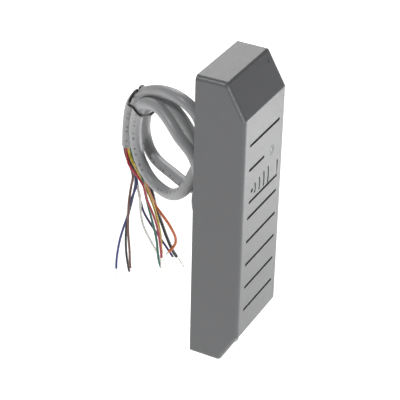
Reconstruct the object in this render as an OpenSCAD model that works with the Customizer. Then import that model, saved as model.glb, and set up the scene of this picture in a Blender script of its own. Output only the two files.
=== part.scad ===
// Slim wall reader for proximity cards.
// The reader module is screwed to the wall by its back housing. A moulded
// cover slips over it and is held by one small screw in its bottom edge.
// X is the width, Y the depth with the wall plane at y = 0 and the front
// face at negative y, and Z is up. The origin is the centre of the wall plane.

/* [Cover] */
// Width of the cover across the front
cover_w = 43.2; // [41:0.1:46]
// Height of the cover
cover_h = 152.4; // [151:0.1:156]
// Depth of the cover, from the wall to the front face
cover_d = 25.4; // [25:0.1:28]
// Wall thickness of the cover
cover_wall = 2.0; // [1.6:0.1:2.2]
// Depth that each sloping end takes off the front
slope_run = 9.56; // [8:0.02:11]
// Height that each sloping end takes
slope_rise = 16.8; // [14:0.1:18]
// Radius of the side edges of the cover
edge_r = 2.5; // [1.5:0.1:3]

/* [Front grooves] */
// Half the length of a full groove, to the centres of its round ends
groove_half = 14.8; // [12:0.1:16]
// Width of a groove
groove_w = 1.5; // [0.8:0.1:1.8]
// Depth of a groove
groove_depth = 0.9; // [0.4:0.1:1.2]
// Height of the top groove above the centre
groove_top = 44.5; // [42:0.1:46]
// Step from one groove to the next
groove_pitch = 12.9; // [12:0.1:13.2]
// Width of the thin corner line round the badge field
line_w = 1.1; // [0.6:0.1:1.2]

/* [Status light] */
// Diameter of the light window
lens_d = 4.8; // [3:0.1:6]
// Window position across the front
lens_x = 8.0; // [6:0.1:9]
// Window position up the front
lens_z = 31.2; // [30:0.1:33]

/* [Wall fixing] */
// Distance between the two wall screw holes
screw_pitch = 124.0; // [120:0.5:125]
// Radius of a wall screw hole
screw_r = 2.0; // [1.6:0.1:2.4]

/* [Cable] */
// Outer diameter of the cable
cable_d = 6.0; // [5.4:0.1:6.1]
// Diameter of each insulated conductor
lead_d = 1.3; // [1:0.1:1.4]
// Diameter of each bare conductor end
tip_d = 0.8; // [0.6:0.1:0.9]

/* [Hidden] */
$fn = 48;

// clearance between the cover and the back housing
gap = 0.4;
// half sizes of the back housing, which fills the cover
base_x = cover_w/2 - cover_wall - gap;
base_z = cover_h/2 - cover_wall - gap;
base_d = 14;
floor_t = 2.5;
side_t = 2.0;
// the board compartment ends at these dams
dam_z = 54;
// circuit board
pcb_back = 6.0;
pcb_t = 1.6;
pcb_front = pcb_back + pcb_t;
// cable outlet
outlet_z = -14;
outlet_r = 4.5;
// lock screw
lock_y = -13.8;
lock_r = 1.45;
head_r = 2.2;
// lower end of the threaded insert, below the centre
insert_low = 70.9;

grey = [0.42, 0.42, 0.43];

// ---- side outline of the cover, inset by i ----
slope_a = atan2(slope_rise, slope_run);
function outline(i) =
  let (top = cover_h/2 - i,
       yt = -(cover_d - slope_run) + i*tan(slope_a/2),
       yf = -(cover_d - i),
       zf = cover_h/2 - slope_rise - i*tan((90 - slope_a)/2))
  [[5, -top], [yt, -top], [yf, -zf], [yf, zf], [yt, top], [5, top]];

// solid of the side outline, w wide, inset by i
module outline_solid(i, w)
  rotate([90, 0, 90])
    translate([0, 0, -w/2])
      linear_extrude(w) polygon(outline(i));

module behind_wall()
  translate([-60, 0, -120]) cube([120, 60, 240]);

// a straight groove with round ends from a to b on the front face
module groove_h(x0, x1, z, w, d) {
  translate([x0, -cover_d - 1, z - w/2]) cube([x1 - x0, d + 1, w]);
  for (x = [x0, x1])
    translate([x, -cover_d + d, z]) rotate([90, 0, 0])
      cylinder(h = d + 1, d = w, $fn = 24);
}
module groove_v(x, z0, z1, w, d) {
  translate([x - w/2, -cover_d - 1, z0]) cube([w, d + 1, z1 - z0]);
  for (z = [z0, z1])
    translate([x, -cover_d + d, z]) rotate([90, 0, 0])
      cylinder(h = d + 1, d = w, $fn = 24);
}

module cover() color(grey) difference() {
  hull()
    for (a = [0:15:90])
      outline_solid(edge_r*(1 - cos(a)), cover_w - 2*edge_r*(1 - sin(a)));
  behind_wall();
  // hollow for the reader module
  outline_solid(cover_wall, cover_w - 2*cover_wall);
  // long grooves
  for (k = [0, 3, 4, 5, 6, 7])
    groove_h(-groove_half, groove_half, groove_top - k*groove_pitch,
      groove_w, groove_depth);
  // short groove beside the light window
  groove_h(-groove_half, -0.5, groove_top - groove_pitch,
    groove_w, groove_depth);
  // thin line under and beside the badge field
  groove_h(-13.9, 15.2, 14, line_w, 0.9);
  groove_v(15.2, 14, 21.9, line_w, 0.9);
  // window hole
  translate([lens_x, -cover_d + 3, lens_z]) rotate([90, 0, 0])
    cylinder(h = 6, d = lens_d + 0.1);
  // drip dimple on the upper slope
  translate([15.4, -18.2, 72.1]) rotate([90 - slope_a, 0, 0])
    translate([0, 0, -0.6]) cylinder(h = 3, d = 1.5, $fn = 24);
  // slot for the lock screw, open towards the wall
  translate([-1.8, lock_y, -cover_h/2 - 1])
    cube([3.6, -lock_y + 1, cover_wall + 2]);
  translate([0, lock_y, -cover_h/2 - 1])
    cylinder(h = cover_wall + 2, r = 1.8);
}

module led_lens() color([0.80, 0.81, 0.84]) {
  // window flush with the front, with a collar behind the wall
  translate([lens_x, -cover_d + 3.2, lens_z]) rotate([90, 0, 0]) {
    translate([0, 0, 0]) cylinder(h = 3.15, d = lens_d);
    translate([0, 0, 0]) cylinder(h = 1.15, d = lens_d + 2);
  }
}

module rounded_rect(w, h, r) {
  square([w - 2*r, h], center = true);
  square([w, h - 2*r], center = true);
  for (x = [-1, 1], z = [-1, 1])
    translate([x*(w/2 - r), z*(h/2 - r)]) circle(r = r);
}
// plate w by h with corner radius r, from y = -y0 to y = -y1
module plate(w, h, r, y0, y1)
  translate([0, -y0, 0]) rotate([90, 0, 0])
    linear_extrude(y1 - y0) rounded_rect(w, h, r);

module back_housing() color([0.16, 0.16, 0.17]) difference() {
  union() {
    difference() {
      plate(2*base_x, 2*base_z, 2, 0, base_d);
      plate(2*(base_x - side_t), 2*(base_z - side_t), 1.2, floor_t, base_d + 1);
    }
    // dams at the ends of the board compartment
    for (s = [-1, 1])
      translate([-base_x + 1, -11, s*(dam_z + 0.8) - 0.8])
        cube([2*base_x - 2, 11, 1.6]);
    // raised seats for the wall screws
    for (s = [-1, 1])
      translate([0, 0, s*screw_pitch/2]) rotate([90, 0, 0])
        cylinder(h = 4.5, r = 5);
    // posts that carry the board
    for (x = [-13.5, 13.5], z = [-46, 46])
      translate([x, 0, z]) rotate([90, 0, 0]) cylinder(h = pcb_back, r = 2);
    // block for the lock screw insert
    intersection() {
      translate([-4.5, -17, -base_z]) cube([9, 17, 8]);
      outline_solid(cover_wall + gap, 20);
    }
  }
  // wall screw holes
  for (s = [-1, 1])
    translate([0, 1, s*screw_pitch/2]) rotate([90, 0, 0])
      cylinder(h = 8, r = screw_r);
  // cable outlet
  translate([0, 1, outlet_z]) rotate([90, 0, 0])
    cylinder(h = floor_t + 2, r = outlet_r);
  // hole for the threaded insert, and the screw's way into it
  translate([0, lock_y, -insert_low]) cylinder(h = 9, r = 2.3);
  translate([0, lock_y, -base_z - 1]) cylinder(h = 9, r = 1.7);
}

module potting() color([0.10, 0.10, 0.11]) difference() {
  plate(2*(base_x - side_t) - 0.1, 2*dam_z - 0.1, 0.8, floor_t + 0.02, pcb_back - 0.02);
  for (x = [-13.5, 13.5], z = [-46, 46])
    translate([x, 0, z]) rotate([90, 0, 0]) cylinder(h = pcb_back + 1, r = 2.1);
  // space round the cable and its leads
  translate([-14.5, -pcb_back - 1, -33]) cube([29, 6, 27]);
}

module circuit_board() color([0.05, 0.30, 0.16]) difference() {
  plate(33, 104, 1.5, pcb_back, pcb_front);
  for (x = [-13.5, 13.5], z = [-46, 46])
    translate([x, 0, z]) rotate([90, 0, 0]) cylinder(h = 20, r = 1.1, $fn = 24);
}

// frame of the coil: a ring with two flanges
module coil_former() color([0.86, 0.84, 0.78]) difference() {
  union() {
    plate(28.6, 98, 3, pcb_front, 12.4);
    plate(33, 102.4, 4, pcb_front, 8.4);
    plate(33, 102.4, 4, 11.6, 12.4);
  }
  plate(26, 95.4, 2.4, 5, 14);
  // keep clear of the board's fixing holes
  for (x = [-13.5, 13.5], z = [-46, 46])
    translate([x, 0, z]) rotate([90, 0, 0]) cylinder(h = 20, r = 0.9, $fn = 24);
}
module antenna_coil() color([0.72, 0.38, 0.18]) difference() {
  plate(32.4, 101.8, 4, 8.45, 11.55);
  plate(28.7, 98.1, 3, 8, 12);
}

// box with its back on the board, centred at x, z
module on_board(x, z, w, h, t, lift = 0)
  translate([x - w/2, -pcb_front - lift - t, z - h/2]) cube([w, t, h]);

module microcontroller() {
  color([0.08, 0.08, 0.09]) on_board(-4, 12, 7.5, 12.8, 2.2, 0.2);
  color([0.75, 0.75, 0.76])
    for (k = [0:9], s = [-1, 1])
      on_board(-4 + s*4.4, 12 + (k - 4.5)*1.27, 1.4, 0.42, 0.9);
}
module crystal() color([0.78, 0.78, 0.80]) {
  translate([6.5, -pcb_front, 8]) rotate([90, 0, 0]) linear_extrude(3.6)
    rounded_rect(4.4, 10.8, 2.1);
  translate([6.5, -pcb_front, 8]) rotate([90, 0, 0]) linear_extrude(0.5)
    rounded_rect(5, 11.4, 2.4);
}
module voltage_regulator() {
  color([0.09, 0.09, 0.10]) on_board(6.5, -33, 6.5, 3.6, 1.7, 0.1);
  color([0.75, 0.75, 0.76]) {
    on_board(6.5, -30.4, 3.0, 1.8, 0.6);
    for (k = [-1:1]) on_board(6.5 + k*2.3, -35.6, 0.8, 1.8, 0.6);
  }
}
module filter_capacitor() {
  color([0.12, 0.14, 0.30]) translate([-6, -pcb_front, -34]) rotate([90, 0, 0])
    rotate_extrude() polygon([[0, 0], [3.0, 0], [3.15, 0.3], [3.15, 1.2],
      [2.9, 1.5], [3.15, 1.8], [3.15, 6.7], [2.9, 7.0], [0, 7.0]]);
}
module tuning_capacitors() color([0.72, 0.20, 0.12])
  for (z = [28, 34.5]) {
    on_board(-5, z, 7.2, 3.2, 5.5, 0.4);
    for (x = [-7.5, -2.5]) translate([x, -pcb_front, z]) rotate([90, 0, 0])
      cylinder(h = 0.5, d = 0.6, $fn = 16);
  }
module surge_suppressor() {
  color([0.10, 0.10, 0.11]) on_board(-7, -43, 4.4, 3.6, 2.2, 0.1);
  color([0.75, 0.75, 0.76]) for (s = [-1, 1]) on_board(-7 + s*2.4, -43, 0.8, 2.0, 0.9);
}
module driver_transistors() for (x = [1.5, 6.5]) {
  color([0.10, 0.10, 0.11]) on_board(x, -42, 2.9, 1.3, 1.0, 0.1);
  color([0.75, 0.75, 0.76]) {
    on_board(x, -43.1, 0.45, 0.9, 0.4);
    for (s = [-1, 1]) on_board(x + s*0.95, -40.9, 0.45, 0.9, 0.4);
  }
}
module chip_resistors() color([0.12, 0.12, 0.13])
  for (k = [0:5]) on_board(-8 + k*2.6, 22.5, 1.2, 2.0, 0.55);
module chip_capacitors() color([0.60, 0.45, 0.30])
  for (k = [0:3]) on_board(2 + k*2.6, -1, 1.25, 2.0, 0.9);
module beeper() color([0.09, 0.09, 0.10])
  translate([-4, -pcb_front, -14]) rotate([90, 0, 0]) difference() {
    cylinder(h = 6.5, r = 6);
    translate([0, 0, 5.5]) cylinder(h = 2, r = 1);
  }
module status_led() {
  color([0.92, 0.93, 0.95])
    translate([lens_x, -16.5, lens_z]) rotate([90, 0, 0]) rotate_extrude()
      polygon([[0, 0], [1.9, 0], [1.9, 0.9], [1.5, 0.9], [1.5, 3.4],
        [1.3, 4.1], [0.8, 4.6], [0, 4.8]]);
  color([0.75, 0.75, 0.76]) for (k = [-1:1])
    translate([lens_x + k*1.27 - 0.25, -16.5, lens_z - 0.25])
      cube([0.5, 16.5 - pcb_front, 0.5]);
}

// ---- tubes swept along a route ----
function mid(p0, p1, p2, p3, t) = 0.5*((2*p1) + (p2 - p0)*t
  + (2*p0 - 5*p1 + 4*p2 - p3)*t*t + (3*p1 - p0 - 3*p2 + p3)*t*t*t);
function unit(v) = v/max(norm(v), 0.000001);
// the route with n steps between each two of its points
function smooth(p, n) = let (m = len(p), q = [for (i = [-1:m])
    i < 0 ? 2*p[0] - p[1] : i == m ? 2*p[m - 1] - p[m - 2] : p[i]])
  concat([for (i = [1:m - 1], j = [0:n - 1])
    mid(q[i - 1], q[i], q[i + 1], q[i + 2], j/n)], [p[m - 1]]);
function tangents(p) = [for (i = [0:len(p) - 1])
  unit(p[min(i + 1, len(p) - 1)] - p[max(i - 1, 0)])];
// a side direction carried along the route without twist
function carried(t, i, v) = i >= len(t) ? [] :
  let (w = unit(v - (v*t[i])*t[i])) concat([w], carried(t, i + 1, w));
module tube(route, r, sides, start = [0.3, 0.1, 1]) {
  t = tangents(route);
  u = carried(t, 0, start);
  n = len(route);
  pts = [for (i = [0:n - 1], j = [0:sides - 1])
    let (a = 360*j/sides, w = cross(t[i], u[i]))
      route[i] + r*(cos(a)*u[i] + sin(a)*w)];
  polyhedron(points = pts, faces = concat(
    [[for (j = [0:sides - 1]) j]],
    [for (i = [0:n - 2], j = [0:sides - 1])
      [i*sides + j, (i + 1)*sides + j, (i + 1)*sides + (j + 1)%sides]],
    [for (i = [0:n - 2], j = [0:sides - 1])
      [i*sides + j, (i + 1)*sides + (j + 1)%sides, i*sides + (j + 1)%sides]],
    [[for (j = [sides - 1:-1:0]) (n - 1)*sides + j]]));
}

// ten short leads from the cable's inner end to the board, in two rows
module inner_leads() color([0.75, 0.6, 0.3])
  for (k = [0:9]) let (x = (k - 4.5)*2.5, x0 = (k - 4.5)*0.42, e = k%2,
      z0 = outlet_z + (e == 0 ? 0.8 : -0.8))
    tube([[x0, -3.1, z0], [x0, e == 0 ? -4.3 : -3.8, z0],
      [x*0.5, e == 0 ? -5.2 : -4.3, outlet_z - 6], [x, -4.8, -27],
      [x, -5.1, -29.5], [x, -5.6, -30.4]], 0.34, 8, [1, 0, 0]);

module cable_grommet() color([0.12, 0.12, 0.13])
  translate([0, -floor_t - 1.2, outlet_z]) rotate([-90, 0, 0])
    rotate_extrude() polygon([[cable_d/2 + 0.05, 0.4], [cable_d/2 + 0.25, 0],
      [5.8, 0], [5.8, 1.15], [outlet_r - 0.05, 1.15],
      [outlet_r - 0.05, floor_t + 1.2], [cable_d/2 + 0.05, floor_t + 1.2]]);

module lock_insert() color([0.78, 0.62, 0.28])
  translate([0, lock_y, -insert_low]) difference() {
    cylinder(h = 5, r = 2.28);
    translate([0, 0, -1]) cylinder(h = 8, r = lock_r + 0.05);
  }
module lock_screw() color([0.72, 0.72, 0.72])
  translate([0, lock_y, -cover_h/2 - 0.3]) difference() {
    union() {
      // shank in the insert
      cylinder(h = 9.8, r = lock_r);
      // shallow domed head below the cover
      rotate_extrude() polygon([[0, -1.8], [1.3, -1.75], [1.9, -1.4],
        [head_r, -0.8], [head_r, 0], [0, 0]]);
    }
    // six-sided key hole
    translate([0, 0, -2]) cylinder(h = 1.2, r = 0.9, $fn = 6);
  }

// ---- cable route, in order from the inner end to the cut end ----
cable_route = [[0, -3, -14], [0, 1.5, -14], [3.5, 8.5, -13.5], [10, 14, -10.5],
  [15.5, 16, -3.5], [17, 17, 7], [16, 19, 19], [12.5, 24.5, 32],
  [13, 32, 38], [17, 40.5, 36.5], [23, 48.5, 29], [26.5, 53, 17],
  [26.5, 53, 9.5], [24.5, 49, 2], [21.5, 42.5, -1.5], [16, 32.5, -1.5],
  [9, 20.5, -1], [2.5, 8.5, 2], [-2.5, 5.5, 9], [-5.5, 5.5, 17], [-6, 8.5, 26],
  [-5, 16.5, 32.5], [-1.5, 23.5, 37.5], [3, 32, 40.5], [6, 39, 39.5],
  [10, 46, 34.5], [13.5, 50, 26.5], [16, 52.5, 16], [16.5, 51.5, 4.5],
  [15.5, 48, -2], [13, 41.5, -7.5], [9.5, 33.5, -9], [4.5, 24.5, -6.5],
  [-0.5, 15.5, 1.5], [0.5, 12, 10], [1.5, 8, 20.5], [0, 6.5, 33.5],
  [-1, 7.5, 41.5], [-1, 11, 46.5], [1, 20.5, 50], [8.5, 35, 46],
  [16, 49, 37.5], [21.5, 57.5, 27.5], [25, 61.5, 14], [26.5, 63, 0]];
module cable_jacket() color([0.62, 0.62, 0.63])
  tube(smooth(cable_route, 2), cable_d/2, 10);

// where the jacket ends, and where lead number k leaves it
cut_end = [26.5, 63, -0.1];
function lead_start(k) = cut_end + [2.1*cos(36*k), 2.1*sin(36*k), 0];
module lead(k, way) tube(smooth(concat([lead_start(k),
  lead_start(k) + [0.3, -0.8, -5]], way), 1), lead_d/2, 8, [1, 0, 0]);

// bare end of a lead: leaves the insulation at a, ends at b
module tip(a, b) tube([a + 0.05*unit(b - a), 0.5*(a + b), b], tip_d/2, 8, [1, 0, 0]);

// ---- routes of the ten leads, and the ends of their bare tips ----
red_way = [[21.5, 59.5, -8], [23.5, 55.5, -15], [24.5, 52.5, -20.5],
  [26, 51, -29.5], [27.5, 48, -39], [28.5, 46, -48], [29, 45, -56.5],
  [29.5, 44.5, -64]];
red_end = [29.5, 44.5, -71];
yellow_way = [[23.5, 58, -8], [27, 57, -15], [28.5, 53, -24.5], [30, 50, -33.5],
  [31, 47.5, -44], [32, 46.5, -53], [32, 45.5, -64]];
yellow_end = [33.5, 43.5, -73.5];
green_way = [[25.5, 56.5, -10], [26.5, 54.5, -16], [26.5, 53, -24.5],
  [27.5, 51.5, -33.5], [28.5, 49, -45], [29.5, 47.5, -54.5],
  [30, 47, -62.5], [30, 46, -68.5]];
green_end = [32, 43, -81];
orange_way = [[28, 57.5, -12.5], [29.5, 54.5, -21.5], [31.5, 50, -34], [33, 47, -39.5],
  [35, 43.5, -46], [36.5, 40.5, -53], [37, 40, -57], [36.5, 40.5, -59.5],
  [35, 43, -63.5]];
orange_end = [34.5, 44.5, -65];
drain_way = [[29.5, 58.5, -13.5], [31.5, 55.5, -21.5], [33.5, 53, -27],
  [34.5, 50.5, -39], [36, 48.5, -46.5], [37, 46, -55], [38.5, 43, -64],
  [40, 40.5, -69.5]];
drain_end = [41.5, 37, -75.5];
white_way = [[29.5, 61.5, -17.5], [30, 60.5, -24], [30, 58, -30], [31, 58, -41],
  [31.5, 56.5, -50], [33.5, 52.5, -60.5], [35, 49.5, -67.5]];
white_end = [37.5, 45.5, -83];
violet_way = [[33.5, 62.5, -19.5], [31.5, 60, -27], [32, 58.5, -35.5], [33, 57, -42.5],
  [35, 53.5, -50.5], [37.5, 48, -60.5], [40, 43.5, -69.5]];
violet_end = [41.5, 41, -75.5];
black_way = [[30, 60, -16], [28.5, 59.5, -22.5], [27.5, 61, -32.5], [26.5, 63, -43],
  [26, 64, -52.5], [26, 64, -64], [26.5, 63, -74.5]];
black_end = [27.5, 61, -87.5];
blue_way = [[27, 59.5, -15.5], [27, 58.5, -23.5], [26, 61, -32.5], [25, 62.5, -42],
  [24, 64.5, -49.5], [23, 66.5, -59], [22.5, 68, -72]];
blue_end = [22.5, 67.5, -85];
brown_way = [[24.5, 59, -15], [25.5, 60.5, -23.5], [24, 61, -32], [24, 61.5, -41.5],
  [24, 61.5, -51.5], [24.5, 61, -62], [24.5, 60.5, -73.5]];
brown_end = [25.5, 58.5, -80];

module lead_red() color([0.70, 0.16, 0.20]) lead(5, red_way);
module lead_yellow() color([0.84, 0.74, 0.20]) lead(6, yellow_way);
module lead_green() color([0.20, 0.42, 0.36]) lead(7, green_way);
module lead_orange() color([0.85, 0.48, 0.26]) lead(8, orange_way);
module lead_drain() color([0.12, 0.12, 0.12]) lead(9, drain_way);
module lead_white() color([0.90, 0.90, 0.88]) lead(2, white_way);
module lead_violet() color([0.28, 0.18, 0.42]) lead(1, violet_way);
module lead_black() color([0.12, 0.12, 0.13]) lead(0, black_way);
module lead_blue() color([0.20, 0.25, 0.52]) lead(3, blue_way);
module lead_brown() color([0.40, 0.26, 0.22]) lead(4, brown_way);

function last(p) = p[len(p) - 1];
module bare_tips() color([0.80, 0.78, 0.75]) {
  tip(last(red_way), red_end);
  tip(last(yellow_way), yellow_end);
  tip(last(green_way), green_end);
  tip(last(orange_way), orange_end);
  tip(last(drain_way), drain_end);
  tip(last(white_way), white_end);
  tip(last(violet_way), violet_end);
  tip(last(black_way), black_end);
  tip(last(blue_way), blue_end);
  tip(last(brown_way), brown_end);
}

// wire tie that gathers the loops near their top
tie_route = [[11.5, 47.5, 42.5], [14, 52, 38.5], [14.5, 54, 34.5], [10.5, 53, 33],
  [8, 49.5, 34], [7, 46.5, 32], [8.5, 45, 30], [13, 44.5, 28], [19, 45, 26],
  [24.5, 46, 26], [27, 49, 29], [25.5, 51, 34], [21.5, 50.5, 39], [16, 48, 42.5],
  [13, 46.5, 43.5]];
module cable_tie() color([0.07, 0.07, 0.07])
  tube(smooth(tie_route, 1), 0.6, 8, [0, 0, 1]);

cover();
led_lens();
back_housing();
potting();
circuit_board();
coil_former();
antenna_coil();
microcontroller();
crystal();
voltage_regulator();
filter_capacitor();
tuning_capacitors();
surge_suppressor();
driver_transistors();
chip_resistors();
chip_capacitors();
beeper();
status_led();
inner_leads();
cable_grommet();
lock_insert();
lock_screw();
cable_jacket();
cable_tie();
lead_red();
lead_yellow();
lead_green();
lead_orange();
lead_drain();
lead_white();
lead_violet();
lead_black();
lead_blue();
lead_brown();
bare_tips();
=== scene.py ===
import bpy, bmesh, math
from mathutils import Vector, Matrix


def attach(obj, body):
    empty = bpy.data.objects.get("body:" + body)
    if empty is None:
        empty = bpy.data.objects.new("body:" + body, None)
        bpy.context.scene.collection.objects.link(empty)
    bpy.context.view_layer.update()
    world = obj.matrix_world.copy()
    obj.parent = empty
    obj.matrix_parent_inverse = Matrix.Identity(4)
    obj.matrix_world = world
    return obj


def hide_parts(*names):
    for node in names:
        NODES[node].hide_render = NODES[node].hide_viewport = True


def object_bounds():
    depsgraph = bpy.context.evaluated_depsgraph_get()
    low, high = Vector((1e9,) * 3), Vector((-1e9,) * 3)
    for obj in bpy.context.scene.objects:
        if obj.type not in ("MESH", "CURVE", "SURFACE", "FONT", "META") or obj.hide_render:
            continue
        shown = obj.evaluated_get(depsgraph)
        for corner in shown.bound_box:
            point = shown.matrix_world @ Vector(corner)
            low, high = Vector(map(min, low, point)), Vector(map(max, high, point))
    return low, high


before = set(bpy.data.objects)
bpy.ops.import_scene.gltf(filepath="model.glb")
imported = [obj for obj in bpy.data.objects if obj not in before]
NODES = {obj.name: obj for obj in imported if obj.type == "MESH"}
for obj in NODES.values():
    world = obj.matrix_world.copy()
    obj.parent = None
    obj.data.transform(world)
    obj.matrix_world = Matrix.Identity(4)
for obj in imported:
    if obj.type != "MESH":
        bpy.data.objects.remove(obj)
cad_box = [list(c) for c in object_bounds()]
MM = 0.001

# ------------------------------------------------------------------ camera
AZ, EL, ROLL = math.radians(-62.821), math.radians(31.445), math.radians(1.38)
DIST, SX, SY = 0.73304, 0.006514, -0.000247
back = Vector((math.sin(AZ)*math.cos(EL), -math.cos(AZ)*math.cos(EL), math.sin(EL)))
side = Vector((0, 0, 1)).cross(back).normalized()
up = back.cross(side)
cx = math.cos(ROLL)*side + math.sin(ROLL)*up
cy = -math.sin(ROLL)*side + math.cos(ROLL)*up
cam_data = bpy.data.cameras.new("camera")
cam_data.lens = 1530.28*36/400
cam_data.sensor_width = 36
cam_data.clip_start, cam_data.clip_end = 0.05, 50
cam = bpy.data.objects.new("camera", cam_data)
bpy.context.scene.collection.objects.link(cam)
m = Matrix((cx, cy, back)).transposed().to_4x4()
m.translation = back*DIST - cx*SX - cy*SY
cam.matrix_world = m
bpy.context.scene.camera = cam


# ------------------------------------------------------------------ materials
def new_mat(name):
    mat = bpy.data.materials.new(name)
    mat.use_nodes = True
    nt = mat.node_tree
    bsdf = nt.nodes["Principled BSDF"]
    return mat, nt, bsdf


def lin(c):
    return tuple(((x/12.92) if x <= 0.04045 else ((x + 0.055)/1.055)**2.4) for x in c)


def node(nt, kind, **kw):
    n = nt.nodes.new(kind)
    for k, v in kw.items():
        if k.startswith("i_"):
            n.inputs[k[2:].replace("_", " ")].default_value = v
        else:
            setattr(n, k, v)
    return n


def plastic(name, rgb, rough=0.5, grain=900.0, bump=0.12, vary=0.06, rvary=0.08,
            metallic=0.0, spec=0.5, coat=0.0, blotch=60.0, sheen=0.0, bump_dist=0.00006):
    """A moulded surface: fine texture in the bump, slow change in colour and gloss."""
    mat, nt, b = new_mat(name)
    L = nt.links.new
    tc = node(nt, "ShaderNodeTexCoord")
    slow = node(nt, "ShaderNodeTexNoise", i_Scale=blotch, i_Detail=4.0, i_Roughness=0.6)
    fine = node(nt, "ShaderNodeTexNoise", i_Scale=grain, i_Detail=3.0, i_Roughness=0.55)
    vor = node(nt, "ShaderNodeTexVoronoi", i_Scale=grain*1.3)
    for t in (slow, fine, vor):
        L(tc.outputs["Object"], t.inputs["Vector"])
    ramp = node(nt, "ShaderNodeMapRange")
    ramp.inputs["From Min"].default_value, ramp.inputs["From Max"].default_value = 0.3, 0.7
    ramp.inputs["To Min"].default_value, ramp.inputs["To Max"].default_value = 1 - vary, 1 + vary
    L(slow.outputs["Fac"], ramp.inputs["Value"])
    hue = node(nt, "ShaderNodeHueSaturation")
    hue.inputs["Color"].default_value = (*lin(rgb), 1)
    L(ramp.outputs["Result"], hue.inputs["Value"])
    L(hue.outputs["Color"], b.inputs["Base Color"])
    rr = node(nt, "ShaderNodeMapRange")
    rr.inputs["From Min"].default_value, rr.inputs["From Max"].default_value = 0.25, 0.75
    rr.inputs["To Min"].default_value = max(0.03, rough - rvary)
    rr.inputs["To Max"].default_value = min(1, rough + rvary)
    L(fine.outputs["Fac"], rr.inputs["Value"])
    L(rr.outputs["Result"], b.inputs["Roughness"])
    add = node(nt, "ShaderNodeMath", operation="ADD")
    L(fine.outputs["Fac"], add.inputs[0])
    L(vor.outputs["Distance"], add.inputs[1])
    bp = node(nt, "ShaderNodeBump", i_Strength=bump, i_Distance=bump_dist)
    L(add.outputs["Value"], bp.inputs["Height"])
    L(bp.outputs["Normal"], b.inputs["Normal"])
    b.inputs["Metallic"].default_value = metallic
    b.inputs["Specular IOR Level"].default_value = spec
    b.inputs["Coat Weight"].default_value = coat
    return mat


def cable_material(name, rgb):
    """Extruded PVC sheath with a faint run of printed dashes that follows it.
    UV.x runs along the cable in metres, UV.y goes once round it."""
    mat, nt, b = new_mat(name)
    L = nt.links.new
    uv = node(nt, "ShaderNodeUVMap", uv_map="along")
    sep = node(nt, "ShaderNodeSeparateXYZ")
    L(uv.outputs["UV"], sep.inputs["Vector"])

    def math_(op, a, c=None, d=None):
        n = node(nt, "ShaderNodeMath", operation=op)
        for i, v in enumerate((a, c, d)):
            if v is None:
                continue
            if isinstance(v, (int, float)):
                n.inputs[i].default_value = v
            else:
                L(v, n.inputs[i])
        return n.outputs["Value"]
    x, y = sep.outputs["X"], sep.outputs["Y"]
    # bars of changing length: two square waves of different pitch, in a band
    a = math_("LESS_THAN", math_("FRACT", math_("MULTIPLY", x, 1/0.0031)), 0.52)
    c = math_("LESS_THAN", math_("FRACT", math_("MULTIPLY", x, 1/0.0047)), 0.66)
    g = math_("LESS_THAN", math_("FRACT", math_("MULTIPLY", x, 1/0.061)), 0.80)
    band = math_("LESS_THAN", math_("ABSOLUTE", math_("SUBTRACT", y, 0.5)), 0.034)
    mark = math_("MULTIPLY", math_("MULTIPLY", a, c), math_("MULTIPLY", g, band))
    tc = node(nt, "ShaderNodeTexCoord")
    worn = node(nt, "ShaderNodeTexNoise", i_Scale=1400.0, i_Detail=2.0)
    L(tc.outputs["Object"], worn.inputs["Vector"])
    slow = node(nt, "ShaderNodeTexNoise", i_Scale=55.0, i_Detail=4.0)
    L(tc.outputs["Object"], slow.inputs["Vector"])
    rub = math_("GREATER_THAN", worn.outputs["Fac"], 0.42)
    ink = math_("MULTIPLY", math_("MULTIPLY", mark, rub), 0.6)
    ramp = node(nt, "ShaderNodeMapRange")
    ramp.inputs["From Min"].default_value, ramp.inputs["From Max"].default_value = 0.3, 0.7
    ramp.inputs["To Min"].default_value, ramp.inputs["To Max"].default_value = 0.94, 1.05
    L(slow.outputs["Fac"], ramp.inputs["Value"])
    hue = node(nt, "ShaderNodeHueSaturation")
    hue.inputs["Color"].default_value = (*lin(rgb), 1)
    L(ramp.outputs["Result"], hue.inputs["Value"])
    mix = node(nt, "ShaderNodeMix", data_type="RGBA")
    L(ink, mix.inputs["Factor"])
    L(hue.outputs["Color"], mix.inputs["A"])
    mix.inputs["B"].default_value = (0.035, 0.035, 0.04, 1)
    L(mix.outputs["Result"], b.inputs["Base Color"])
    # long draw lines from the extruder, and fine grain
    wave = node(nt, "ShaderNodeTexNoise", i_Scale=1.0, i_Detail=2.0)
    mp = node(nt, "ShaderNodeMapping")
    mp.inputs["Scale"].default_value = (30, 26, 1)
    L(uv.outputs["UV"], mp.inputs["Vector"])
    L(mp.outputs["Vector"], wave.inputs["Vector"])
    hgt = math_("ADD", wave.outputs["Fac"], math_("MULTIPLY", worn.outputs["Fac"], 0.35))
    bp = node(nt, "ShaderNodeBump", i_Strength=0.25, i_Distance=0.00012)
    L(hgt, bp.inputs["Height"])
    L(bp.outputs["Normal"], b.inputs["Normal"])
    rr = node(nt, "ShaderNodeMapRange")
    rr.inputs["To Min"].default_value, rr.inputs["To Max"].default_value = 0.30, 0.44
    L(slow.outputs["Fac"], rr.inputs["Value"])
    L(rr.outputs["Result"], b.inputs["Roughness"])
    return mat


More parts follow.
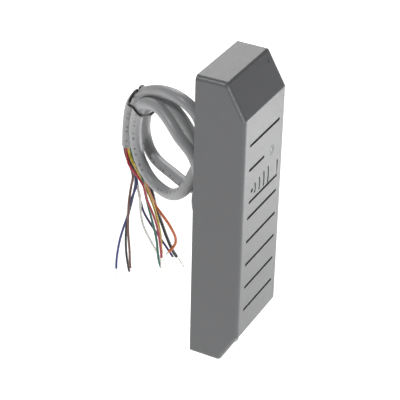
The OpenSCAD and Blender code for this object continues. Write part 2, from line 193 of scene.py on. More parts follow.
def strand_material(name, rgb, rough=0.28):
    mat, nt, b = new_mat(name)
    L = nt.links.new
    tc = node(nt, "ShaderNodeTexCoord")
    n1 = node(nt, "ShaderNodeTexNoise", i_Scale=2500.0, i_Detail=3.0)
    L(tc.outputs["Object"], n1.inputs["Vector"])
    hue = node(nt, "ShaderNodeHueSaturation")
    hue.inputs["Color"].default_value = (*lin(rgb), 1)
    ramp = node(nt, "ShaderNodeMapRange")
    ramp.inputs["To Min"].default_value, ramp.inputs["To Max"].default_value = 0.8, 1.15
    L(n1.outputs["Fac"], ramp.inputs["Value"])
    L(ramp.outputs["Result"], hue.inputs["Value"])
    L(hue.outputs["Color"], b.inputs["Base Color"])
    rr = node(nt, "ShaderNodeMapRange")
    rr.inputs["To Min"].default_value, rr.inputs["To Max"].default_value = rough - 0.1, rough + 0.15
    L(n1.outputs["Fac"], rr.inputs["Value"])
    L(rr.outputs["Result"], b.inputs["Roughness"])
    b.inputs["Metallic"].default_value = 1.0
    return mat


COVER_GREY = (0.362, 0.365, 0.370)
M = {
    "cover": plastic("cover_plastic", COVER_GREY, rough=0.38, grain=1500, bump=0.5, vary=0.02, rvary=0.06, bump_dist=0.00005),
    # badge floors: the cover grey darkened, painted shade in the sunk badge marks
    "mark": plastic("badge_recess_painted_shade", (0.30, 0.30, 0.31), rough=0.5, grain=1500, bump=0.25, vary=0.03),
    "window": plastic("window_frosted", (0.43, 0.435, 0.445), rough=0.45, grain=800, bump=0.05, vary=0.03),
    "window_dot": plastic("window_centre", (0.60, 0.61, 0.63), rough=0.55, grain=800, bump=0.03, vary=0.02),
    "housing": plastic("housing_plastic", (0.17, 0.17, 0.18), rough=0.55, grain=1200, bump=0.35, vary=0.06),
    "resin": plastic("resin_epoxy", (0.09, 0.09, 0.10), rough=0.18, grain=300, bump=0.08, vary=0.10),
    "board": plastic("board_mask", (0.06, 0.32, 0.17), rough=0.28, grain=700, bump=0.10, vary=0.12, coat=0.2),
    "former": plastic("former_nylon", (0.86, 0.84, 0.77), rough=0.45, grain=900, bump=0.2, vary=0.03),
    "package": plastic("package_moulding", (0.10, 0.10, 0.11), rough=0.55, grain=2400, bump=0.3, vary=0.08),
    "red_film": plastic("film_dip", (0.66, 0.18, 0.11), rough=0.22, grain=500, bump=0.12, vary=0.06, coat=0.4),
    "ceramic": plastic("chip_ceramic", (0.60, 0.47, 0.33), rough=0.5, grain=2600, bump=0.2, vary=0.1),
    "sleeve": plastic("capacitor_sleeve", (0.12, 0.14, 0.32), rough=0.25, grain=600, bump=0.05, vary=0.05, coat=0.3),
    "rubber": plastic("grommet_rubber", (0.13, 0.13, 0.14), rough=0.7, grain=1600, bump=0.4, vary=0.08),
    "tie": plastic("tie_coating", (0.075, 0.075, 0.08), rough=0.38, grain=1500, bump=0.15, vary=0.1),
    "lens_clear": plastic("led_epoxy", (0.92, 0.93, 0.95), rough=0.08, grain=300, bump=0.02, vary=0.02, coat=0.5),
    "can": strand_material("can_metal", (0.78, 0.78, 0.80), 0.25),
    "brass": strand_material("brass_insert", (0.80, 0.64, 0.30), 0.30),
    "screw": strand_material("screw_zinc", (0.74, 0.74, 0.75), 0.34),
    "tinned": strand_material("tinned_wire", (0.86, 0.85, 0.83), 0.25),
    "cable": cable_material("cable_pvc", (0.600, 0.602, 0.607)),
}


def wound_copper():
    mat, nt, b = new_mat("wound_copper")
    L = nt.links.new
    tc = node(nt, "ShaderNodeTexCoord")
    mp = node(nt, "ShaderNodeMapping")
    L(tc.outputs["Object"], mp.inputs["Vector"])
    wv = node(nt, "ShaderNodeTexWave", bands_direction="Y", wave_type="BANDS")
    wv.inputs["Scale"].default_value = 900.0
    wv.inputs["Distortion"].default_value = 0.4
    L(mp.outputs["Vector"], wv.inputs["Vector"])
    hue = node(nt, "ShaderNodeHueSaturation")
    hue.inputs["Color"].default_value = (*lin((0.74, 0.40, 0.20)), 1)
    ramp = node(nt, "ShaderNodeMapRange")
    # painted shade: the colour follows the wave, darkest in the low gaps between the turns where the bump sinks
    ramp.inputs["To Min"].default_value, ramp.inputs["To Max"].default_value = 0.55, 1.15
    L(wv.outputs["Fac"], ramp.inputs["Value"])
    L(ramp.outputs["Result"], hue.inputs["Value"])
    L(hue.outputs["Color"], b.inputs["Base Color"])
    bp = node(nt, "ShaderNodeBump", i_Strength=0.8, i_Distance=0.0002)
    L(wv.outputs["Fac"], bp.inputs["Height"])
    L(bp.outputs["Normal"], b.inputs["Normal"])
    b.inputs["Metallic"].default_value = 0.85
    b.inputs["Roughness"].default_value = 0.32
    return mat


M["copper"] = wound_copper()
LEAD_RGB = {
    "red": (0.66, 0.17, 0.21), "yellow": (0.80, 0.70, 0.22), "green": (0.16, 0.42, 0.36),
    "orange": (0.82, 0.44, 0.24), "drain": (0.11, 0.11, 0.12), "white": (0.95, 0.95, 0.93),
    "violet": (0.25, 0.16, 0.42), "black": (0.10, 0.10, 0.11), "blue": (0.15, 0.18, 0.44),
    "brown": (0.42, 0.27, 0.22)}
for _c, _v in LEAD_RGB.items():
    M["pvc_" + _c] = plastic("pvc_" + _c, _v, rough=0.32, grain=2600, bump=0.10,
                             vary=0.05, coat=0.15, blotch=220)


# ------------------------------------------------------------------ tubes
def catmull(pts, n):
    p = [Vector(q) for q in pts]
    p = [2*p[0] - p[1]] + p + [2*p[-1] - p[-2]]
    out = []
    for i in range(1, len(p) - 2):
        p0, p1, p2, p3 = p[i - 1:i + 3]
        for j in range(n):
            t = j/n
            out.append(0.5*((2*p1) + (p2 - p0)*t + (2*p0 - 5*p1 + 4*p2 - p3)*t*t
                            + (3*p1 - p0 - 3*p2 + p3)*t**3))
    out.append(p[-2])
    return out


def length_of(p):
    return sum((p[i + 1] - p[i]).length for i in range(len(p) - 1))


def even(p, step):
    """the same line with points a step apart"""
    total = length_of(p)
    n = max(2, round(total/step))
    out, i, run = [p[0].copy()], 0, 0.0
    for k in range(1, n):
        want = total*k/n
        while run + (p[i + 1] - p[i]).length < want:
            run += (p[i + 1] - p[i]).length
            i += 1
        seg = (p[i + 1] - p[i]).length
        out.append(p[i].lerp(p[i + 1], (want - run)/seg))
    out.append(p[-1].copy())
    return out


def soften(p, times=3):
    for _ in range(times):
        p = [p[0]] + [(p[i - 1] + 2*p[i] + p[i + 1])/4 for i in range(1, len(p) - 1)] + [p[-1]]
    return p


def frames(p, start):
    t = [((p[min(i + 1, len(p) - 1)] - p[max(i - 1, 0)]).normalized()) for i in range(len(p))]
    u, v = [], Vector(start)
    for ti in t:
        v = (v - ti*v.dot(ti)).normalized()
        u.append(v.copy())
    return t, u


def make_obj(name, verts, faces, mat, smooth=True, uvs=None):
    me = bpy.data.meshes.new(name)
    me.from_pydata([tuple(v) for v in verts], [], faces)
    me.update()
    if uvs is not None:
        lay = me.uv_layers.new(name="along")
        for poly in me.polygons:
            for li, val in zip(poly.loop_indices, uvs[poly.index]):
                lay.data[li].uv = val
    if smooth:
        me.polygons.foreach_set("use_smooth", [True]*len(me.polygons))
    o = bpy.data.objects.new(name, me)
    bpy.context.scene.collection.objects.link(o)
    if mat is not None:
        for mm_ in (mat if isinstance(mat, (list, tuple)) else [mat]):
            me.materials.append(mm_)
    return o


def tube(name, p, radius, sides, mat, start=(0.3, 0.1, 1), profile=None, caps="flat",
         wall=None, spin=0.0):
    """A tube of quads along p. radius may be a function of the distance along it;
    profile(angle, distance) scales it round the section. wall opens the far end."""
    t, u = frames(p, start)
    verts, faces, uvs = [], [], []
    s = 0.0
    dist = []
    for i, c in enumerate(p):
        if i:
            s += (p[i] - p[i - 1]).length
        dist.append(s)
        w = t[i].cross(u[i])
        r = radius(s) if callable(radius) else radius
        for j in range(sides):
            a = 2*math.pi*j/sides
            k = profile(a, s) if profile else 1.0
            aa = a + spin*s
            verts.append(c + (math.cos(aa)*u[i] + math.sin(aa)*w)*(r*k))
    for i in range(len(p) - 1):
        for j in range(sides):
            j2 = (j + 1) % sides
            faces.append((i*sides + j, i*sides + j2, (i + 1)*sides + j2, (i + 1)*sides + j))
            uvs.append(((dist[i], j/sides), (dist[i], (j + 1)/sides),
                        (dist[i + 1], (j + 1)/sides), (dist[i + 1], j/sides)))
    n = len(p)

    def cap(base, rev):
        ring = [base + j for j in range(sides)]
        faces.append(tuple(reversed(ring)) if rev else tuple(ring))
        uvs.append(tuple((0.0, 0.0) for _ in ring))
    cap(0, True)
    if wall is None:
        cap((n - 1)*sides, False)
    else:
        r = radius(dist[-1]) if callable(radius) else radius
        w = t[-1].cross(u[-1])
        prev = (n - 1)*sides
        for rr, dz in ((r - 0.12*MM, 0.06*MM), (r - wall, 0.06*MM), (r - wall - 0.1*MM, -1.2*MM)):
            b0 = len(verts)
            for j in range(sides):
                a = 2*math.pi*j/sides + spin*s
                verts.append(p[-1] + t[-1]*dz + (math.cos(a)*u[-1] + math.sin(a)*w)*rr)
            for j in range(sides):
                j2 = (j + 1) % sides
                faces.append((prev + j, prev + j2, b0 + j2, b0 + j))
                uvs.append(tuple((0.0, 0.0) for _ in range(4)))
            prev = b0
        cap(prev, False)
    return make_obj(name, verts, faces, mat, True, uvs)


def mm(pts):
    return [Vector(q)*MM for q in pts]


# ------------------------------------------------------------------ the cable and its leads
CABLE = [[0, -3, -14], [0, 1.5, -14], [3.5, 8.5, -13.5], [10, 14, -10.5],
  [15.5, 16, -3.5], [17, 17, 7], [16, 19, 19], [12.5, 24.5, 32],
  [13, 32, 38], [17, 40.5, 36.5], [23, 48.5, 29], [26.5, 53, 17],
  [26.5, 53, 9.5], [24.5, 49, 2], [21.5, 42.5, -1.5], [16, 32.5, -1.5],
  [9, 20.5, -1], [2.5, 8.5, 2], [-2.5, 5.5, 9], [-5.5, 5.5, 17], [-6, 8.5, 26],
  [-5, 16.5, 32.5], [-1.5, 23.5, 37.5], [3, 32, 40.5], [6, 39, 39.5],
  [10, 46, 34.5], [13.5, 50, 26.5], [16, 52.5, 16], [16.5, 51.5, 4.5],
  [15.5, 48, -2], [13, 41.5, -7.5], [9.5, 33.5, -9], [4.5, 24.5, -6.5],
  [-0.5, 15.5, 1.5], [0.5, 12, 10], [1.5, 8, 20.5], [0, 6.5, 33.5],
  [-1, 7.5, 41.5], [-1, 11, 46.5], [1, 20.5, 50], [8.5, 35, 46],
  [16, 49, 37.5], [21.5, 57.5, 27.5], [25, 61.5, 14], [26.5, 63, 0]]
cable_line = soften(even(catmull(mm(CABLE), 10), 1.0*MM), 14)
cable = tube("cable", cable_line, 3.0*MM, 32, M["cable"], start=(0.8, 0.3, -0.5), wall=0.8*MM)
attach(cable, "reader")
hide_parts("cable_jacket")

CUT = Vector((26.5, 63, -0.1))
WAYS = {
    "black": (0, [[30, 60, -16], [28.5, 59.5, -22.5], [27.5, 61, -32.5], [26.5, 63, -43], [26, 64, -52.5], [26, 64, -64], [26.5, 63, -74.5]], [27.5, 61, -87.5]),
    "violet": (1, [[33.5, 62.5, -19.5], [31.5, 60, -27], [32, 58.5, -35.5], [33, 57, -42.5], [35, 53.5, -50.5], [37.5, 48, -60.5], [40, 43.5, -69.5]], [41.5, 41, -75.5]),
    "white": (2, [[29.5, 61.5, -17.5], [30, 60.5, -24], [30, 58, -30], [31, 58, -41], [31.5, 56.5, -50], [33.5, 52.5, -60.5], [35, 49.5, -67.5]], [37.5, 45.5, -83]),
    "blue": (3, [[27, 59.5, -15.5], [27, 58.5, -23.5], [26, 61, -32.5], [25, 62.5, -42], [24, 64.5, -49.5], [23, 66.5, -59], [22.5, 68, -72]], [22.5, 67.5, -85]),
    "brown": (4, [[24.5, 59, -15], [25.5, 60.5, -23.5], [24, 61, -32], [24, 61.5, -41.5], [24, 61.5, -51.5], [24.5, 61, -62], [24.5, 60.5, -73.5]], [25.5, 58.5, -80]),
    "red": (5, [[21.5, 59.5, -8], [23.5, 55.5, -15], [24.5, 52.5, -20.5], [26, 51, -29.5], [27.5, 48, -39], [28.5, 46, -48], [29, 45, -56.5], [29.5, 44.5, -64]], [29.5, 44.5, -71]),
    "yellow": (6, [[23.5, 58, -8], [27, 57, -15], [28.5, 53, -24.5], [30, 50, -33.5], [31, 47.5, -44], [32, 46.5, -53], [32, 45.5, -64]], [33.5, 43.5, -73.5]),
    "green": (7, [[25.5, 56.5, -10], [26.5, 54.5, -16], [26.5, 53, -24.5], [27.5, 51.5, -33.5], [28.5, 49, -45], [29.5, 47.5, -54.5], [30, 47, -62.5], [30, 46, -68.5]], [32, 43, -81]),
    "orange": (8, [[28, 57.5, -12.5], [29.5, 54.5, -21.5], [31.5, 50, -34], [33, 47, -39.5], [35, 43.5, -46], [36.5, 40.5, -53], [37, 40, -57], [36.5, 40.5, -59.5], [35, 43, -63.5]], [34.5, 44.5, -65]),
    "drain": (9, [[29.5, 58.5, -13.5], [31.5, 55.5, -21.5], [33.5, 53, -27], [34.5, 50.5, -39], [36, 48.5, -46.5], [37, 46, -55], [38.5, 43, -64], [40, 40.5, -69.5]], [41.5, 37, -75.5]),
}
cable_pieces = []
lead_objs = {}
for name, (k, way, end) in WAYS.items():
    a = math.radians(36*k)
    s0 = CUT + Vector((2.1*math.cos(a)*0.78, 2.1*math.sin(a)*0.78, 0.9))
    s1 = CUT + Vector((2.1*math.cos(a) + 0.3, 2.1*math.sin(a) - 0.8, -5))
    pts = [s0, s1] + [Vector(q) for q in way]
    rad = {"drain": 0.92, "orange": 0.78}.get(name, 0.66)*MM
    whole = soften(even(catmull([q*MM for q in pts + [Vector(end)]], 12), 0.5*MM), 10)
    # the insulation stops where the bare tip starts
    tip_len = {"orange": 2.2, "red": 6.5, "violet": 6.5, "brown": 7, "drain": 8}.get(name, 10)*MM
    n_tip = max(3, int(tip_len/(0.5*MM)))
    ins, bare = whole[:-n_tip], whole[-n_tip - 3:]
    rise = lambda s, r=rad, tot=length_of(ins): r*(1 - 0.10*max(0, 1 - (tot - s)/(0.5*MM)))
    lead = tube("lead_wire_" + name, ins, rise, 14, M["pvc_" + name], start=(1, 0, 0))
    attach(lead, "reader")
    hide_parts("lead_" + name)
    tip_r = (0.42 if name != "drain" else 0.5)*MM
    lobes = 6
    prof = lambda ang, s: 1 + 0.13*math.cos(lobes*ang)
    bare_f = soften(even(bare, 0.25*MM), 2)
    tot = length_of(bare_f)
    rt = lambda s, r=tip_r, tot=tot: r*(1.0 if s < tot - 0.8*MM else 1.0 - 0.35*(s - tot + 0.8*MM)/(0.8*MM))
    tip = tube("bare_end_" + name, bare_f, rt, 30, M["tinned"], start=(1, 0, 0), profile=prof, spin=900.0)
    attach(tip, "reader")
    lead_objs[name] = (lead, tip, ins, rad)
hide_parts("bare_tips")

# black wire tie round the loops, wound twice, with its ends twisted together
TIE = [[13, 49.5, 40.6], [14, 52, 38.5], [14.5, 54, 34.5], [10.5, 53, 33],
  [8, 49.5, 34], [7, 46.5, 32], [8.5, 45, 30], [13, 44.5, 28], [19, 45, 26],
  [24.5, 46, 26], [27, 49, 29], [25.5, 51, 34], [21.5, 51, 38.5], [17.5, 50, 40.5],
  [14.2, 48.8, 41.4]]
tie_line = soften(even(catmull(mm(TIE), 10), 0.6*MM), 4)
tie = tube("wire_tie", tie_line, 0.62*MM, 24, M["tie"], start=(0, 0, 1),
           profile=lambda a, s: 1 + 0.16*math.cos(2*a), spin=260.0)
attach(tie, "reader")
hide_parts("cable_tie")

for name, (lead, tip, ins, rad) in lead_objs.items():
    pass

# ------------------------------------------------------------------ the cover
W, H, D = 43.2, 152.4, 25.4
WALL, RUN, RISE, R = 2.0, 9.56, 16.8, 2.5
SLOPE = math.atan2(RISE, RUN)


def outline(i, rc, seg=6, back_y=0.0):
    """side outline inset by i, its four front corners rounded to rc; points (y, z)"""
    top = H/2 - i
    yt = -(D - RUN) + i*math.tan(SLOPE/2)
    yf = -(D - i)
    zf = H/2 - RISE - i*math.tan((math.pi/2 - SLOPE)/2)
    raw = [(back_y, -top), (yt, -top), (yf, -zf), (yf, zf), (yt, top), (back_y, top)]
    out = [raw[0]]
    for k in range(1, 5):
        p0, p1, p2 = Vector(raw[k - 1]), Vector(raw[k]), Vector(raw[k + 1])
        a, b = (p0 - p1).normalized(), (p2 - p1).normalized()
        ang = a.angle(b)
        tl = rc/math.tan(ang/2)
        bis = (a + b).normalized()
        c = p1 + bis*(rc/math.sin(ang/2))
        s, e = p1 + a*tl, p1 + b*tl
        va, vb = s - c, e - c
        for j in range(seg + 1):
            f = j/seg
            v = (va*(1 - f) + vb*f).normalized()*rc
            out.append(tuple(c + v))
    out.append(raw[5])
    return out


def solid_from_rings(name, rings, mat=None):
    """rings: list of (x, [(y, z)...]) with equal counts; a closed solid"""
    verts, faces = [], []
    n = len(rings[0][1])
    for x, pts in rings:
        verts += [(x*MM, y*MM, z*MM) for y, z in pts]
    for i in range(len(rings) - 1):
        for j in range(n):
            j2 = (j + 1) % n
            faces.append((i*n + j, i*n + j2, (i + 1)*n + j2, (i + 1)*n + j))
    faces.append(tuple(reversed(range(n))))
    faces.append(tuple(range((len(rings) - 1)*n, len(rings)*n)))
    o = make_obj(name, verts, faces, mat, False)
    bm = bmesh.new()
    bm.from_mesh(o.data)
    bmesh.ops.recalc_face_normals(bm, faces=bm.faces)
    bm.to_mesh(o.data)
    bm.free()
    return o


def side_rings(w, inset0, r, rc, steps, back_y=0.0):
    """rings from the left side to the right, with side edges of radius r"""
    half = []
    for k in range(steps + 1):
        a = math.pi/2*k/steps
        i = inset0 + r*(1 - math.cos(a))
        half.append((w/2 - r*(1 - math.sin(a)), outline(i, rc, back_y=back_y)))
    left = [(-x, p) for x, p in reversed(half)]
    return left + half


def boolean(obj, cutter, op="DIFFERENCE"):
    md = obj.modifiers.new("b", "BOOLEAN")
    md.operation = op
    md.object = cutter
    md.solver = "EXACT"
    apply(obj)
    bpy.data.objects.remove(cutter)


def apply(obj):
    dg = bpy.context.evaluated_depsgraph_get()
    me = bpy.data.meshes.new_from_object(obj.evaluated_get(dg))
    old = obj.data
    obj.modifiers.clear()
    obj.data = me
    bpy.data.meshes.remove(old)


def capsule_cut(name, p, q, w, y0, y1, seg=14, floor_r=0.35):
    """a straight groove cutter between (x, z) points p and q, from depth y0 out to y1,
    with a rounded floor edge"""
    p, q = Vector(p), Vector(q)
    d = (q - p).normalized()
    nrm = Vector((-d.y, d.x))
    levels = [(y0, w/2 - floor_r)] + [(y0 - floor_r*(1 - math.cos(a)), w/2 - floor_r*(1 - math.sin(a)))
                                      for a in [math.radians(x) for x in (30, 60, 90)]] + [(y1, w/2)]
    verts, faces = [], []
    cnt = None
    for y, r in levels:
        ring = []
        for k in range(seg + 1):
            a = math.pi/2 + math.pi*k/seg
            ring.append(p + r*(math.cos(a)*d + math.sin(a)*nrm))
        for k in range(seg + 1):
            a = -math.pi/2 + math.pi*k/seg
            ring.append(q + r*(math.cos(a)*d + math.sin(a)*nrm))
        cnt = len(ring)
        verts += [(v.x*MM, y*MM, v.y*MM) for v in ring]
    for i in range(len(levels) - 1):
        for j in range(cnt):
            j2 = (j + 1) % cnt
            faces.append((i*cnt + j, i*cnt + j2, (i + 1)*cnt + j2, (i + 1)*cnt + j))
    faces.append(tuple(reversed(range(cnt))))
    faces.append(tuple(range((len(levels) - 1)*cnt, len(levels)*cnt)))
    o = make_obj(name, verts, faces, None, False)
    fix_normals(o)
    return o


def fix_normals(o):
    bm = bmesh.new()
    bm.from_mesh(o.data)
    bmesh.ops.recalc_face_normals(bm, faces=bm.faces)
    bm.to_mesh(o.data)
    bm.free()


def path_cut(name, pts, w, y0, y1):
    """a groove cutter that follows a bent line of (x, z) points, as one closed strip"""
    pts = [Vector(p) for p in pts]
    left, right = [], []
    for i, p in enumerate(pts):
        a = (pts[min(i + 1, len(pts) - 1)] - pts[max(i - 1, 0)]).normalized()
        nrm = Vector((-a.y, a.x))
        left.append(p + nrm*w/2)
        right.append(p - nrm*w/2)
    ring = left
    # round the two ends
    def fan(c, frm, to, seg=6):
        va, vb = frm - c, to - c
        ax = va.angle_signed(vb) if va.length and vb.length else math.pi
        out = []
        for k in range(1, seg):
            ang = -math.pi*k/seg
            out.append(c + Matrix.Rotation(ang, 2) @ va)
        return out
    ring = left + fan(pts[-1], left[-1], right[-1]) + list(reversed(right)) + fan(pts[0], right[0], left[0])
    n = len(ring)
    verts = [(v.x*MM, y0*MM, v.y*MM) for v in ring] + [(v.x*MM, y1*MM, v.y*MM) for v in ring]
    faces = [(j, (j + 1) % n, n + (j + 1) % n, n + j) for j in range(n)]
    faces += [tuple(reversed(range(n))), tuple(range(n, 2*n))]
    o = make_obj(name, verts, faces, None, False)
    fix_normals(o)
    return o


def round_cut(name, c, axis, r, h0, h1, seg=40):
    """a cylinder cutter about c (mm) along axis from h0 to h1"""
    axis = Vector(axis).normalized()
    u = axis.orthogonal().normalized()
    w = axis.cross(u)
    verts = []
    for h in (h0, h1):
        for k in range(seg):
            a = 2*math.pi*k/seg
            verts.append((Vector(c) + axis*h + (math.cos(a)*u + math.sin(a)*w)*r)*MM)
    faces = [(j, (j + 1) % seg, seg + (j + 1) % seg, seg + j) for j in range(seg)]
    faces += [tuple(reversed(range(seg))), tuple(range(seg, 2*seg))]
    o = make_obj(name, verts, faces, None, False)
    fix_normals(o)
    return o


def join(objs, name):
    bm = bmesh.new()
    for o in objs:
        bm.from_mesh(o.data)
    me = bpy.data.meshes.new(name)
    bm.to_mesh(me)
    bm.free()
    for o in objs:
        bpy.data.objects.remove(o)
    out = bpy.data.objects.new(name, me)
    bpy.context.scene.collection.objects.link(out)
    return out


cover = solid_from_rings("cover_shell", side_rings(W, 0.0, R, 1.8, 10), M["cover"])
inner = solid_from_rings("inner_cut", side_rings(W - 2*WALL, WALL, 0.8, 0.4, 3, back_y=4.0))
boolean(cover, inner)
GT, GP, GH = 44.5, 12.9, 14.8
cuts = []
for k in (0, 3, 4, 5, 6, 7):
    z = GT - k*GP
    cuts.append(capsule_cut("g%d" % k, (-GH, z), (GH, z), 1.5, -D + 0.9, -D - 2))
cuts.append(capsule_cut("g1", (-GH, GT - GP), (-0.5, GT - GP), 1.5, -D + 0.9, -D - 2))
cuts.append(path_cut("corner_line", [(-13.9, 14), (15.2, 14), (15.2, 21.9)], 1.4, -D + 1.1, -D - 2))
cuts.append(round_cut("window_hole", (8.0, -D, 31.2), (0, 1, 0), 2.45, -3, 3))
nrm = Vector((0, -math.sin(SLOPE), math.cos(SLOPE)))
cuts.append(round_cut("dimple", (15.4, -18.2, 72.1), nrm, 0.75, -0.25, 3, 24))
for c in cuts:
    boolean(cover, c)
# slot for the lock screw, open towards the wall
slot_pts = []
for k in range(17):
    a = math.pi + math.pi*k/16
    slot_pts.append((1.8*math.cos(a), -13.8 + 1.8*math.sin(a)))
slot_pts += [(1.8, 3), (-1.8, 3)]
n = len(slot_pts)
sv = [(x*MM, y*MM, -80*MM) for x, y in slot_pts] + [(x*MM, y*MM, -73*MM) for x, y in slot_pts]
sf = [(j, (j + 1) % n, n + (j + 1) % n, n + j) for j in range(n)]
sf += [tuple(reversed(range(n))), tuple(range(n, 2*n))]
slot = make_obj("slot_cut", sv, sf, None, False)
fix_normals(slot)
boolean(cover, slot)

# generic badge: three proximity waves and a dot, sunk into the face
badge = []


def arc_pts(c, r, a0, a1, n=28):
    return [(c[0] + r*math.cos(math.radians(a0 + (a1 - a0)*k/n)),
             c[1] + r*math.sin(math.radians(a0 + (a1 - a0)*k/n))) for k in range(n + 1)]


BC = (-13.0, 19.4)
for r_, a_ in ((4.8, 27), (9.4, 18), (14.0, 14.5), (18.6, 12.5)):
    badge.append(path_cut("wave", arc_pts(BC, r_, -a_, a_), 1.2, -D + 0.45, -D - 2))
badge.append(round_cut("dot", (BC[0] + 1.2, -D, BC[1]), (0, 1, 0), 1.1, -2, 0.45, 32))
for c in badge:
    boolean(cover, c)

bm = bmesh.new()
bm.from_mesh(cover.data)
bmesh.ops.remove_doubles(bm, verts=bm.verts, dist=0.000004)
bmesh.ops.dissolve_degenerate(bm, edges=bm.edges, dist=0.000002)
bmesh.ops.recalc_face_normals(bm, faces=bm.faces)
bm.to_mesh(cover.data)
bm.free()
for poly in cover.data.polygons:
    poly.use_smooth = True
cover.data.set_sharp_from_angle(angle=math.radians(35))
bev = cover.modifiers.new("soft_edges", "BEVEL")
bev.width = 0.16*MM
bev.segments = 2
bev.limit_method = "ANGLE"
bev.angle_limit = math.radians(38)
bev.use_clamp_overlap = True
bev.harden_normals = False
wn = cover.modifiers.new("normals", "WEIGHTED_NORMAL")
wn.keep_sharp = True
wn.weight = 80
# the floors of the badge marks are painted darker: painted shade in the recesses
cover.data.materials.append(M["mark"])
for poly in cover.data.polygons:
    c = poly.center/MM
    if abs(c.y + D - 0.45) < 0.02 and -14 < c.x < 12 and 14.8 < c.z < 26 and abs(poly.normal.y) > 0.9:
        poly.material_index = 1
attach(cover, "cover")
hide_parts("cover")

# ------------------------------------------------------------------ status window
LX, LZ = 8.0, 31.2


def lathe(name, prof, c, axis, mat, seg=48):
    """prof: (height along axis, radius) from one end to the other, in mm"""
    axis = Vector(axis).normalized()
    u = axis.orthogonal().normalized()
    w = axis.cross(u)
    verts, faces = [], []
    for h, r in prof:
        for k in range(seg):
            a = 2*math.pi*k/seg
            verts.append((Vector(c) + axis*h + (math.cos(a)*u + math.sin(a)*w)*max(r, 0.001))*MM)
    for i in range(len(prof) - 1):
        for j in range(seg):
            j2 = (j + 1) % seg
            faces.append((i*seg + j, i*seg + j2, (i + 1)*seg + j2, (i + 1)*seg + j))
    faces.append(tuple(reversed(range(seg))))
    faces.append(tuple(range((len(prof) - 1)*seg, len(prof)*seg)))
    o = make_obj(name, verts, faces, mat, True)
    fix_normals(o)
    o.data.set_sharp_from_angle(angle=math.radians(40))
    return o


# height runs outwards, towards -Y
lens = lathe("window_lens", [(-3.2, 3.4), (-2.05, 3.4), (-2.05, 2.4), (-0.16, 2.4), (-0.06, 2.36), (-0.02, 2.26),
                             (-0.02, 1.5), (-0.16, 1.36), (-0.16, 0.9)],
             (LX, -D, LZ), (0, -1, 0), M["window"])
lens_dot = lathe("window_light", [(-0.6, 0.9), (-0.14, 0.9), (-0.08, 0.80), (-0.06, 0.42), (-0.05, 0.15)],
                 (LX, -D, LZ), (0, -1, 0), M["window_dot"])
for o in (lens, lens_dot):
    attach(o, "cover")
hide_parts("led_lens")

# ------------------------------------------------------------------ lock screw
thread = [(-9.7, 1.0), (-9.4, 1.2)]
for k in range(28):
    thread += [(-9.3 + 0.3*k, 1.24), (-9.15 + 0.3*k, 1.45)]
screw = lathe("lock_screw_body", thread + [(-0.8, 1.3), (0, 1.3), (0, 2.1), (0.05, 2.2), (0.75, 2.2), (1.15, 2.08),
                                           (1.45, 1.82), (1.68, 1.4), (1.78, 1.02), (1.74, 0.92)],
              (0, -13.8, -76.5), (0, 0, -1), M["screw"])
hexc = round_cut("hex", (0, -13.8, -76.5), (0, 0, -1), 0.82, 0.8, 4, 6)
boolean(screw, hexc)
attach(screw, "lock_screw")
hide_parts("lock_screw")
screw.data.set_sharp_from_angle(angle=math.radians(38))
sb = screw.modifiers.new("soft_edges", "BEVEL")
sb.width, sb.segments, sb.limit_method, sb.angle_limit = 0.06*MM, 2, "ANGLE", math.radians(45)

# ------------------------------------------------------------------ CAD pieces that stay, with finished surfaces
keep = {
    "back_housing": "housing", "potting": "resin", "circuit_board": "board", "coil_former": "former",
    "antenna_coil": "copper", "microcontroller": "package", "crystal": "can",
    "voltage_regulator": "package", "filter_capacitor": "sleeve", "tuning_capacitors": "red_film",
    "surge_suppressor": "package", "driver_transistors": "package", "chip_resistors": "package",
    "chip_capacitors": "ceramic", "beeper": "package", "status_led": "lens_clear",
    "inner_leads": "copper", "cable_grommet": "rubber", "lock_insert": "brass",
}
for name, key in keep.items():
    o = NODES[name]
    o.data.materials.clear()
    o.data.materials.append(M[key])
    for poly in o.data.polygons:
        poly.material_index = 0
    o.data.polygons.foreach_set("use_smooth", [True]*len(o.data.polygons))
    o.data.set_sharp_from_angle(angle=math.radians(32))
    if name in ("back_housing",):
        bv = o.modifiers.new("soft_edges", "BEVEL")
        bv.width, bv.segments, bv.limit_method, bv.angle_limit = 0.15*MM, 2, "ANGLE", math.radians(40)

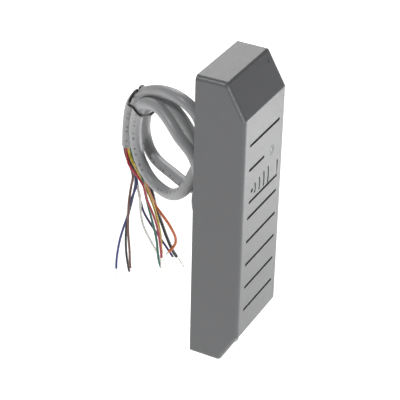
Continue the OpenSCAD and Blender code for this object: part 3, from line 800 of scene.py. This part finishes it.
# ------------------------------------------------------------------ floor and light
floor_z = cad_box[0][2] - 0.16
fm, fnt, fb = new_mat("floor_pale")
fb.inputs["Base Color"].default_value = (0.93, 0.93, 0.93, 1)
fb.inputs["Roughness"].default_value = 0.9
fb.inputs["Specular IOR Level"].default_value = 0.1
fb.inputs["Emission Color"].default_value = (1, 1, 1, 1)
fb.inputs["Emission Strength"].default_value = 0.66
fv = [(-30, -30, floor_z), (30, -30, floor_z), (30, 30, floor_z), (-30, 30, floor_z)]
floor = make_obj("floor", fv, [(0, 1, 2, 3)], fm, False)


def area(name, loc, aim, size, power, color=(1, 1, 1), size_y=None):
    ld = bpy.data.lights.new(name, "AREA")
    ld.energy = power
    ld.size = size
    if size_y:
        ld.shape = "RECTANGLE"
        ld.size_y = size_y
    ld.color = color
    o = bpy.data.objects.new(name, ld)
    bpy.context.scene.collection.objects.link(o)
    o.location = loc
    d = Vector(aim) - Vector(loc)
    o.rotation_euler = d.to_track_quat("-Z", "Y").to_euler()
    return o


front_box = area("front_box", (0.30, -0.40, -0.19), (0, -0.02, 0.02), 0.44, 1.45, size_y=0.16)
top_box = area("top_box", (1.15, 0.75, 0.95), (0, 0, 0.05), 1.0, 13)
edge_box = area("edge_box", (-0.68, -0.90, 0.17), (0, 0, 0.05), 0.10, 4.2)
rim_box = area("rim_box", (-0.65, 0.51, 0.95), (0, 0, 0.05), 0.16, 5.0)
rim_box.visible_camera = False
front_box.visible_camera = False
top_box.visible_camera = False
edge_box.visible_camera = False
world = bpy.data.worlds.new("studio")
bpy.context.scene.world = world
world.use_nodes = True
bg = world.node_tree.nodes["Background"]
bg.inputs["Color"].default_value = (1, 1, 1, 1)
bg.inputs["Strength"].default_value = 0.26
# the room is darker near the horizon than overhead
wt = world.node_tree
wtc = wt.nodes.new("ShaderNodeTexCoord")
wsep = wt.nodes.new("ShaderNodeSeparateXYZ")
wmap = wt.nodes.new("ShaderNodeMapRange")
wmap.inputs["From Min"].default_value, wmap.inputs["From Max"].default_value = 0.15, 0.65
wmap.inputs["To Min"].default_value, wmap.inputs["To Max"].default_value = 0.12, 1.0
wt.links.new(wtc.outputs["Generated"], wsep.inputs["Vector"])
wt.links.new(wsep.outputs["Z"], wmap.inputs["Value"])
wt.links.new(wmap.outputs["Result"], bg.inputs["Color"])
bpy.context.scene.view_settings.view_transform = "Standard"
